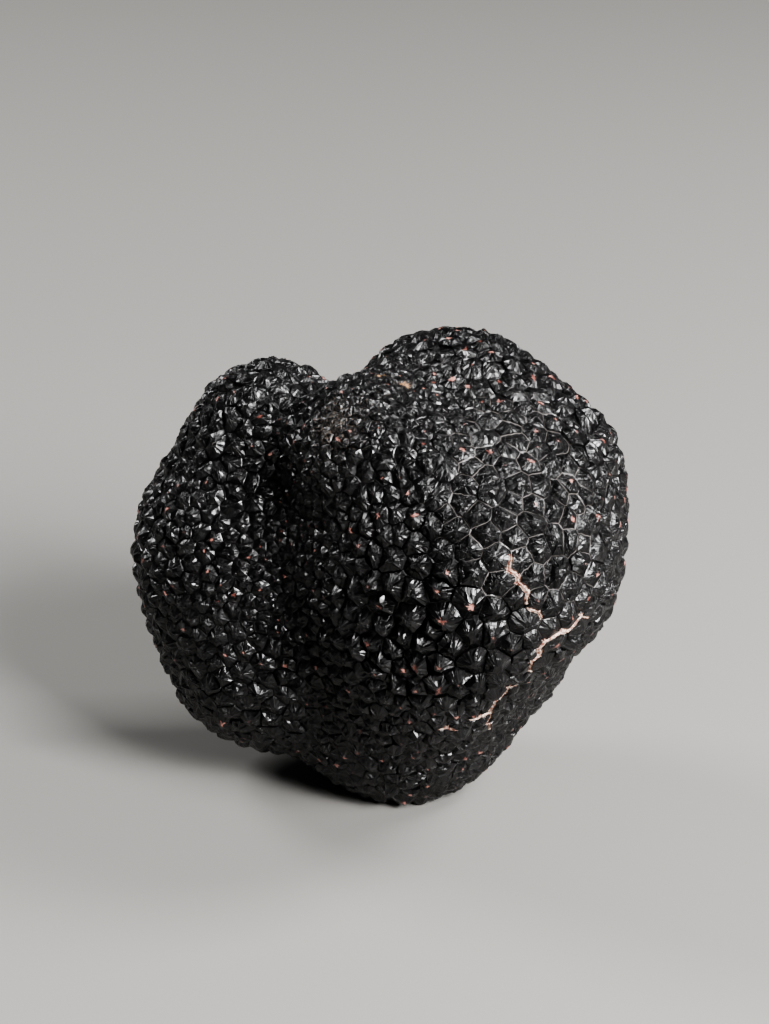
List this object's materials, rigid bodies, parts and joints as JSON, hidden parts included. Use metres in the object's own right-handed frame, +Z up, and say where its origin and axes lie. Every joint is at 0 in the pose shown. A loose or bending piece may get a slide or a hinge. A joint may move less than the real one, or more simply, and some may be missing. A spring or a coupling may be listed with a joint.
{
  "type": "black truffle",
  "caption": "Whole black truffle: a lobed, near-black fruiting body covered in small polygonal warts, split by a few pale cracks, standing on a small flat spot.",
  "frame": {"origin": "on the surface that it rests on, below the middle of the body's box", "axes": "+Z up; +X from the small lobe to the big lobe; +Y from the front, where the big lobe bulges, to the back"},
  "size_m": [0.0546, 0.0412, 0.0513],
  "materials": {
    "peridium": "satin"
  },
  "bodies": {
    "root": {"truffle": "peridium"}
  },
  "joints": []
}
